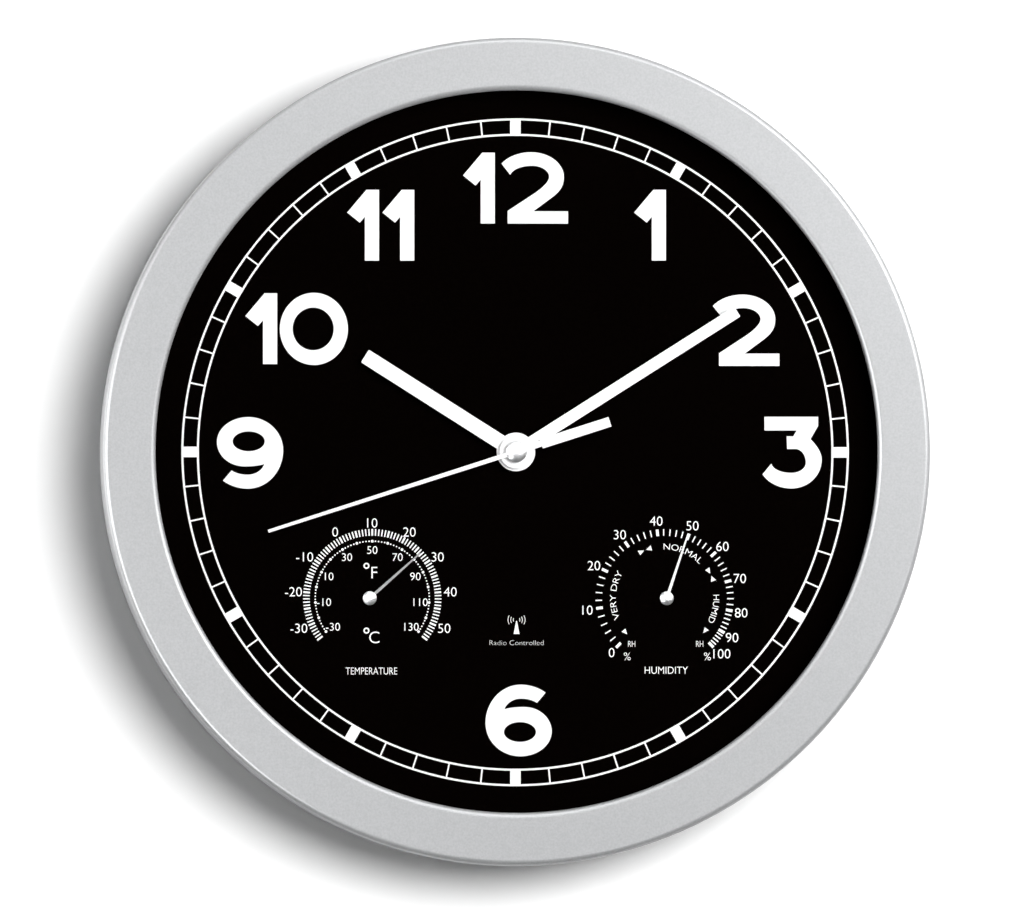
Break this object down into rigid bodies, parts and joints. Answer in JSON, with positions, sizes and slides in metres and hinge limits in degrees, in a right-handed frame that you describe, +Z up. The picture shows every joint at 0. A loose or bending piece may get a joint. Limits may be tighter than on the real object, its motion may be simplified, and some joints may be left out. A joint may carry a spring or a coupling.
{
  "type": "thermometer hygrometer clock",
  "caption": "Round wall clock with a silver ring, a black dial with bold white numerals and hands, and small thermometer and hygrometer gauges on the dial.",
  "frame": {"origin": "where the axis of the hands meets the wall, in the plane of the ring's rear edge", "axes": "+Z up the dial, +X to the right as the dial is read, +Y into the wall, so the dial faces -Y"},
  "size_m": [0.3, 0.0429, 0.3],
  "materials": {
    "silver_lacquer": "satin metallic lacquer with a fine grain",
    "clear_glass": "clear, flat",
    "black_dial": "matt black print on sheet",
    "black_plastic": "moulded, fine texture",
    "movement_plastic": "moulded, fine texture",
    "zinc_steel": "zinc plated",
    "brass": "turned",
    "bimetal": "rolled strip",
    "rubber": "matt",
    "white_lacquer": "white lacquer on sheet",
    "silver_cap": "satin",
    "pointer_lacquer": "white lacquer on sheet",
    "gear_plastic": "moulded, natural white",
    "magnet_plastic": "moulded, plastic-bonded magnet",
    "ferrite": "sintered, matt",
    "copper_wire": "enamelled wire",
    "board_green": "solder mask",
    "cell_jacket": "plain printed jacket",
    "button_grey": "moulded"
  },
  "bodies": {
    "case": {"bezel_ring": "silver_lacquer", "front_lens": "clear_glass", "dial_spacer": "black_plastic", "dial_plate": "black_dial", "rear_cover": "black_plastic", "case_screws": "zinc_steel", "hanger_plate": "zinc_steel", "hanger_screws": "zinc_steel", "movement_front_shell": "movement_plastic", "movement_rear_shell": "movement_plastic", "threaded_bushing": "brass", "rubber_washer": "rubber", "dial_washer": "brass", "hex_nut": "brass", "seconds_stator": "zinc_steel", "seconds_coil": "copper_wire", "minutes_stator": "zinc_steel", "minutes_coil": "copper_wire", "antenna_rod": "ferrite", "antenna_winding": "copper_wire", "circuit_board": "board_green", "positive_contact": "zinc_steel", "negative_contact": "zinc_steel", "gauge_screws": "zinc_steel", "thermometer_cup": "black_plastic", "thermometer_bridge": "black_plastic", "thermometer_spiral": "bimetal", "hygrometer_cup": "black_plastic", "hygrometer_bridge": "black_plastic", "hygrometer_spiral": "bimetal"},
    "second_hand": {"second_hand": "white_lacquer", "second_hand_cap": "silver_cap", "seconds_wheel": "gear_plastic"},
    "minute_hand": {"minute_hand": "white_lacquer", "centre_wheel": "gear_plastic"},
    "hour_hand": {"hour_hand": "white_lacquer", "hour_wheel": "gear_plastic"},
    "minute_wheel": {"minute_wheel": "gear_plastic"},
    "third_wheel": {"third_wheel": "gear_plastic"},
    "minutes_intermediate_wheel": {"minutes_intermediate_wheel": "gear_plastic"},
    "minutes_rotor": {"minutes_rotor": "magnet_plastic"},
    "seconds_intermediate_wheel": {"seconds_intermediate_wheel": "gear_plastic"},
    "seconds_rotor": {"seconds_rotor": "magnet_plastic"},
    "thermometer_pointer": {"thermometer_pointer": "pointer_lacquer", "thermometer_hub": "silver_cap", "thermometer_arbor": "zinc_steel"},
    "hygrometer_pointer": {"hygrometer_pointer": "pointer_lacquer", "hygrometer_hub": "silver_cap", "hygrometer_arbor": "zinc_steel"},
    "receive_button": {"receive_button": "button_grey"},
    "reset_button": {"reset_button": "button_grey"},
    "set_button": {"set_button": "button_grey"},
    "battery": {"battery_cell": "cell_jacket"}
  },
  "joints": [
    {"name": "second_hand_turn", "type": "hinge", "parent": "case", "child": "second_hand", "pos_m": [0, -0.0128, 0], "axis": [0, 1, 0], "continuous": true},
    {"name": "minute_hand_turn", "type": "hinge", "parent": "case", "child": "minute_hand", "pos_m": [0, -0.0128, 0], "axis": [0, 1, 0], "continuous": true},
    {"name": "hour_hand_turn", "type": "hinge", "parent": "case", "child": "hour_hand", "pos_m": [0, -0.0128, 0], "axis": [0, 1, 0], "continuous": true},
    {"name": "minute_wheel_turn", "type": "hinge", "parent": "case", "child": "minute_wheel", "pos_m": [0.00707, -0.0128, -0.00843], "axis": [0, 1, 0], "continuous": true},
    {"name": "third_wheel_turn", "type": "hinge", "parent": "case", "child": "third_wheel", "pos_m": [-0.00935, -0.0128, 0.0054], "axis": [0, 1, 0], "continuous": true},
    {"name": "minutes_intermediate_turn", "type": "hinge", "parent": "case", "child": "minutes_intermediate_wheel", "pos_m": [-0.0076, -0.0128, 0.01533], "axis": [0, 1, 0], "continuous": true},
    {"name": "minutes_rotor_turn", "type": "hinge", "parent": "case", "child": "minutes_rotor", "pos_m": [0.00132, -0.0128, 0.01611], "axis": [0, 1, 0], "continuous": true},
    {"name": "seconds_intermediate_turn", "type": "hinge", "parent": "case", "child": "seconds_intermediate_wheel", "pos_m": [0.00827, -0.0128, 0.00694], "axis": [0, 1, 0], "continuous": true},
    {"name": "seconds_rotor_turn", "type": "hinge", "parent": "case", "child": "seconds_rotor", "pos_m": [0.01603, -0.0128, 0.01142], "axis": [0, 1, 0], "continuous": true},
    {"name": "thermometer_swing", "type": "hinge", "parent": "case", "child": "thermometer_pointer", "pos_m": [-0.0527, -0.02, -0.0528], "axis": [0, 1, 0], "range_deg": [-175, 78.4], "stiffness_Nm_per_rad": 0.0001, "deforming": ["thermometer_spiral"]},
    {"name": "hygrometer_swing", "type": "hinge", "parent": "case", "child": "hygrometer_pointer", "pos_m": [0.0547, -0.02, -0.0528], "axis": [0, 1, 0], "range_deg": [-153.9, 116.6], "stiffness_Nm_per_rad": 0.0001, "deforming": ["hygrometer_spiral"]},
    {"name": "receive_press", "type": "slide", "parent": "case", "child": "receive_button", "axis": [0, -1, 0], "range_m": [0, 0.0006], "stiffness_N_per_m": 300},
    {"name": "reset_press", "type": "slide", "parent": "case", "child": "reset_button", "axis": [0, -1, 0], "range_m": [0, 0.0006], "stiffness_N_per_m": 300},
    {"name": "set_press", "type": "slide", "parent": "case", "child": "set_button", "axis": [0, -1, 0], "range_m": [0, 0.0006], "stiffness_N_per_m": 300},
    {"name": "battery_removal", "type": "slide", "parent": "case", "child": "battery", "axis": [0, 1, 0], "range_m": [0, 0.02]}
  ],
  "couplings": [
    {"joint": "seconds_intermediate_turn", "follows": "second_hand_turn", "ratio": -5},
    {"joint": "seconds_rotor_turn", "follows": "second_hand_turn", "ratio": 30},
    {"joint": "third_wheel_turn", "follows": "minute_hand_turn", "ratio": -5},
    {"joint": "minutes_intermediate_turn", "follows": "minute_hand_turn", "ratio": 30},
    {"joint": "minutes_rotor_turn", "follows": "minute_hand_turn", "ratio": -180},
    {"joint": "minute_wheel_turn", "follows": "minute_hand_turn", "ratio": -0.33333},
    {"joint": "hour_hand_turn", "follows": "minute_hand_turn", "ratio": 0.083333}
  ]
}
